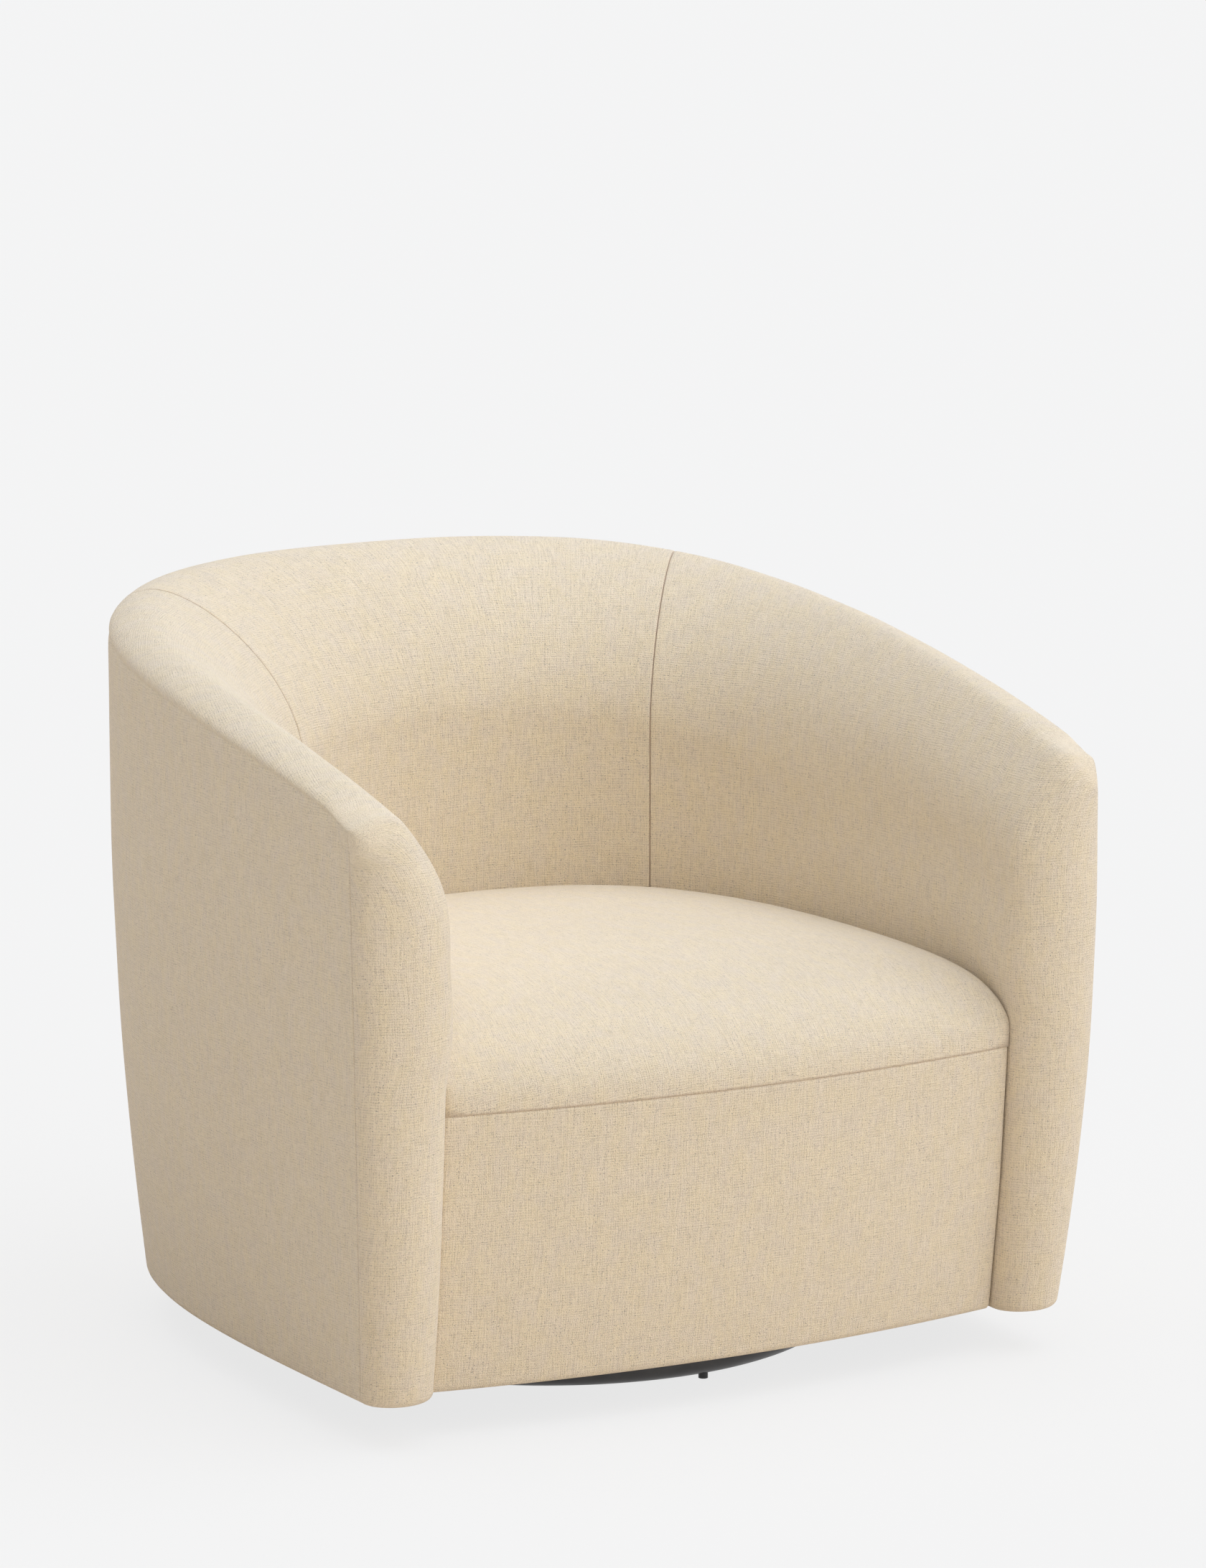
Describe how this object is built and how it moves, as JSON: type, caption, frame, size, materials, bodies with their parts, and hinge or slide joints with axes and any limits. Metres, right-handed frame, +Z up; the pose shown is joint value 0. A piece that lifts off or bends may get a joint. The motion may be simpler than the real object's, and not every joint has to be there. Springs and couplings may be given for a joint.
{
  "type": "swivel barrel chair",
  "caption": "Upholstered barrel armchair with a rolled top, a tight crowned seat and a bowed front panel, on a hidden ball-bearing swivel and a round ring base.",
  "frame": {"origin": "on the floor under the upright swivel axis, which is also the middle of the chair's plan", "axes": "+Z up, -Y towards the front of the seat, +X to the right when looking along +Y at the chair"},
  "size_m": [0.8, 0.77, 0.72],
  "materials": {
    "upholstery_fabric": "matte",
    "foam": "matte",
    "timber": "matte",
    "liner_board": "matte",
    "webbing": "matte",
    "deck_cloth": "matte",
    "dust_cloth": "matte",
    "ring_paint": "satin",
    "glide_plastic": "matte",
    "swivel_steel": "satin",
    "cage_plastic": "matte"
  },
  "bodies": {
    "base": {"base_ring": "ring_paint", "base_cross": "ring_paint", "base_glides": "glide_plastic", "lower_swivel_plate": "swivel_steel", "lower_plate_screws": "swivel_steel", "lower_plate_nuts": "swivel_steel", "pivot_rivet": "swivel_steel"},
    "bearing": {"ball_cage": "cage_plastic", "bearing_balls": "swivel_steel"},
    "seat": {"pivot_washer": "swivel_steel", "upper_swivel_plate": "swivel_steel", "upper_plate_bolts": "swivel_steel", "tee_nuts": "swivel_steel", "dust_cover": "dust_cloth", "mounting_rail_left": "timber", "mounting_rail_right": "timber", "front_stretcher": "timber", "front_rail": "timber", "bottom_board_left": "timber", "bottom_board_right": "timber", "bottom_board_back": "timber", "seat_board_left": "timber", "seat_board_right": "timber", "seat_board_back": "timber", "corner_blocks": "timber", "lower_ribs": "timber", "upper_ribs": "timber", "top_rail_left": "timber", "top_rail_right": "timber", "top_rail_back": "timber", "outer_liner_left": "liner_board", "outer_liner_right": "liner_board", "outer_liner_back": "liner_board", "inner_liner_left": "liner_board", "inner_liner_right": "liner_board", "inner_liner_back": "liner_board", "panel_wedges": "timber", "panel_board": "liner_board", "panel_foam": "foam", "panel_cover": "upholstery_fabric", "webbing_long": "webbing", "webbing_cross": "webbing", "seat_deck": "deck_cloth", "seat_foam": "foam", "seat_cover": "upholstery_fabric", "arm_foam_left": "foam", "arm_foam_right": "foam", "back_foam": "foam", "arm_cover_left": "upholstery_fabric", "arm_cover_right": "upholstery_fabric", "back_cover": "upholstery_fabric", "outside_cover": "upholstery_fabric"}
  },
  "joints": [
    {"name": "seat_swivel", "type": "hinge", "parent": "base", "child": "seat", "pos_m": [0, 0, 0.0405], "axis": [0, 0, 1], "continuous": true},
    {"name": "bearing_turn", "type": "hinge", "parent": "base", "child": "bearing", "pos_m": [0, 0, 0.0405], "axis": [0, 0, 1], "continuous": true}
  ],
  "couplings": [
    {"joint": "bearing_turn", "follows": "seat_swivel", "ratio": 0.5}
  ]
}
